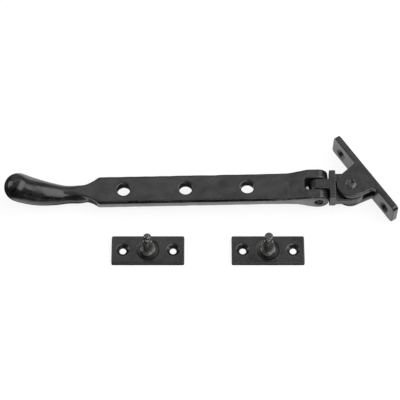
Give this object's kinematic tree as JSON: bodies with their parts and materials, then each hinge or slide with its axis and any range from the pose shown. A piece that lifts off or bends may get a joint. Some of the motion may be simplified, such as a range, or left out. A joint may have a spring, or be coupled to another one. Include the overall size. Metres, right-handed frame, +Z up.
{
  "type": "casement window stay",
  "caption": "Black peardrop casement stay: flat bar with peg holes, swivel knuckle and screw-on bracket, with loose pin plates that carry upright pegs.",
  "frame": {"origin": "centre of the set's footprint, on the surface it lies on", "axes": "+X from the handle to the bracket, +Y from the pin plates to the arm, +Z up"},
  "size_m": [0.2767, 0.096, 0.0292],
  "materials": {
    "black_iron": "satin black paint",
    "black_steel": "satin black paint"
  },
  "bodies": {
    "arm": {"stay_arm": "black_iron", "hinge_pin": "black_steel"},
    "swivel": {"swivel": "black_iron"},
    "bracket": {"bracket": "black_iron", "pivot_rivet": "black_steel"},
    "left_pin_plate": {"pin_plate_left": "black_iron", "peg_left": "black_steel"},
    "right_pin_plate": {"pin_plate_right": "black_iron", "peg_right": "black_steel"}
  },
  "joints": [
    {"name": "fork_hinge", "type": "hinge", "parent": "arm", "child": "swivel", "pos_m": [0.08275, 0.00712, 0.0126], "axis": [-0.014, 0.9999, 0], "range_deg": [-75, 75]},
    {"name": "bracket_pivot", "type": "hinge", "parent": "swivel", "child": "bracket", "pos_m": [0.1056, 0.00744, 0.0109], "axis": [0, 0, 1], "range_deg": [-108, 34]},
    {"name": "left_plate_lift", "type": "slide", "parent": "arm", "child": "left_pin_plate", "axis": [0, 0, 1], "range_m": [0, 0.05]},
    {"name": "right_plate_lift", "type": "slide", "parent": "arm", "child": "right_pin_plate", "axis": [0, 0, 1], "range_m": [0, 0.05]}
  ]
}
